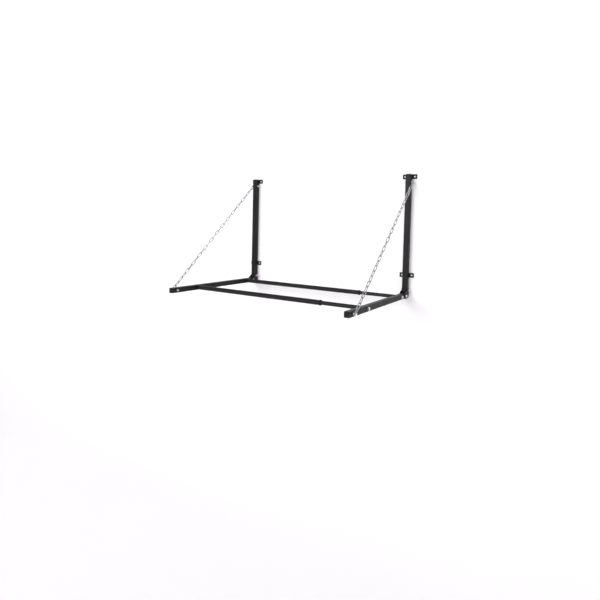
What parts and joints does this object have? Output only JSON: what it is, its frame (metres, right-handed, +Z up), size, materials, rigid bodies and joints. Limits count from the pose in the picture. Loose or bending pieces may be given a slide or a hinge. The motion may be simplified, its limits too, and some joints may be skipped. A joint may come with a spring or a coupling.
{
  "type": "folding wall rack for tyres",
  "caption": "Folding wall rack for stored tyres: hinged arms hang from uprights on stay chains and carry telescoping cross bars that set its width.",
  "frame": {"origin": "on the wall plane, at the centre of the rectangle of outer wall slots, with the rack drawn out to its middle width", "axes": "+X along the wall, +Y into the wall, +Z up; the rack stands out of the wall towards -Y"},
  "size_m": [1.166, 0.703, 0.687],
  "materials": {
    "frame_paint": "charcoal satin powder coat",
    "black_plastic": "moulded, fine grain",
    "zinc_fasteners": "bright zinc plate",
    "zinc_chain": "zinc plated wire, slightly dull",
    "plain_steel": "plain turned steel"
  },
  "bodies": {
    "left_upright": {"left_hinge_bolts": "zinc_fasteners", "left_hinge_nuts": "zinc_fasteners", "left_hinge_washers": "zinc_fasteners", "left_inner_hinge_plate": "frame_paint", "left_lower_wall_plate": "frame_paint", "left_outer_hinge_plate": "frame_paint", "left_pivot_shims": "zinc_fasteners", "left_top_wall_plate": "frame_paint", "left_upright_cap": "black_plastic", "left_upright_chain_bolt": "zinc_fasteners", "left_upright_chain_nut": "zinc_fasteners", "left_upright_chain_spacer_and_washers": "zinc_fasteners", "left_upright_tube": "frame_paint"},
    "right_upright": {"right_hinge_bolts": "zinc_fasteners", "right_hinge_nuts": "zinc_fasteners", "right_hinge_washers": "zinc_fasteners", "right_inner_hinge_plate": "frame_paint", "right_lower_wall_plate": "frame_paint", "right_outer_hinge_plate": "frame_paint", "right_pivot_shims": "zinc_fasteners", "right_top_wall_plate": "frame_paint", "right_upright_cap": "black_plastic", "right_upright_chain_bolt": "zinc_fasteners", "right_upright_chain_nut": "zinc_fasteners", "right_upright_chain_spacer_and_washers": "zinc_fasteners", "right_upright_tube": "frame_paint"},
    "left_arm": {"bar_guide_collars": "black_plastic", "front_bar_outer_tube": "frame_paint", "left_arm_chain_bolt": "zinc_fasteners", "left_arm_chain_nut": "zinc_fasteners", "left_arm_chain_spacer_and_washers": "zinc_fasteners", "left_arm_front_cap": "black_plastic", "left_arm_rear_cap": "black_plastic", "left_arm_tube": "frame_paint", "left_bar_bolt_washers": "zinc_fasteners", "left_bar_bolts": "zinc_fasteners", "left_bar_end_plugs": "plain_steel", "left_pivot_sleeve": "plain_steel", "rear_bar_outer_tube": "frame_paint"},
    "right_arm": {"bar_slide_bushes": "black_plastic", "front_bar_inner_tube": "frame_paint", "rear_bar_inner_tube": "frame_paint", "right_arm_chain_bolt": "zinc_fasteners", "right_arm_chain_nut": "zinc_fasteners", "right_arm_chain_spacer_and_washers": "zinc_fasteners", "right_arm_front_cap": "black_plastic", "right_arm_rear_cap": "black_plastic", "right_arm_tube": "frame_paint", "right_bar_bolt_washers": "zinc_fasteners", "right_bar_bolts": "zinc_fasteners", "right_bar_end_plugs": "plain_steel", "right_pivot_sleeve": "plain_steel"},
    "left_chain_upper": {"left_chain_upper_run": "zinc_chain"},
    "left_chain_lower": {"left_chain_lower_run": "zinc_chain"},
    "right_chain_upper": {"right_chain_upper_run": "zinc_chain"},
    "right_chain_lower": {"right_chain_lower_run": "zinc_chain"}
  },
  "joints": [
    {"name": "left_fold", "type": "hinge", "parent": "left_upright", "child": "left_arm", "pos_m": [-0.541, -0.05, -0.385], "axis": [-1, 0, 0], "range_deg": [0, 90]},
    {"name": "width_slide", "type": "slide", "parent": "left_upright", "child": "right_upright", "axis": [1, 0, 0], "range_m": [-0.212, 0.188]},
    {"name": "right_fold", "type": "hinge", "parent": "right_upright", "child": "right_arm", "pos_m": [0.541, -0.05, -0.385], "axis": [-1, 0, 0], "range_deg": [0, 90]},
    {"name": "left_chain_upper_swing", "type": "hinge", "parent": "left_upright", "child": "left_chain_upper", "pos_m": [-0.5655, -0.018, 0.242], "axis": [1, 0, 0], "range_deg": [0, 46.5], "deforming": ["left_chain_upper_run"]},
    {"name": "left_chain_lower_swing", "type": "hinge", "parent": "left_arm", "child": "left_chain_lower", "pos_m": [-0.5655, -0.672, -0.385], "axis": [-1, 0, 0], "range_deg": [0, 48.1], "deforming": ["left_chain_lower_run"]},
    {"name": "right_chain_upper_swing", "type": "hinge", "parent": "right_upright", "child": "right_chain_upper", "pos_m": [0.5655, -0.018, 0.242], "axis": [1, 0, 0], "range_deg": [0, 46.5], "deforming": ["right_chain_upper_run"]},
    {"name": "right_chain_lower_swing", "type": "hinge", "parent": "right_arm", "child": "right_chain_lower", "pos_m": [0.5655, -0.672, -0.385], "axis": [-1, 0, 0], "range_deg": [0, 48.1], "deforming": ["right_chain_lower_run"]}
  ],
  "couplings": [
    {"joint": "right_fold", "follows": "left_fold", "ratio": 1},
    {"joint": "left_chain_upper_swing", "follows": "left_fold", "ratio": 0.51333},
    {"joint": "left_chain_lower_swing", "follows": "left_fold", "ratio": 0.53111},
    {"joint": "right_chain_upper_swing", "follows": "left_fold", "ratio": 0.51333},
    {"joint": "right_chain_lower_swing", "follows": "left_fold", "ratio": 0.53111}
  ]
}
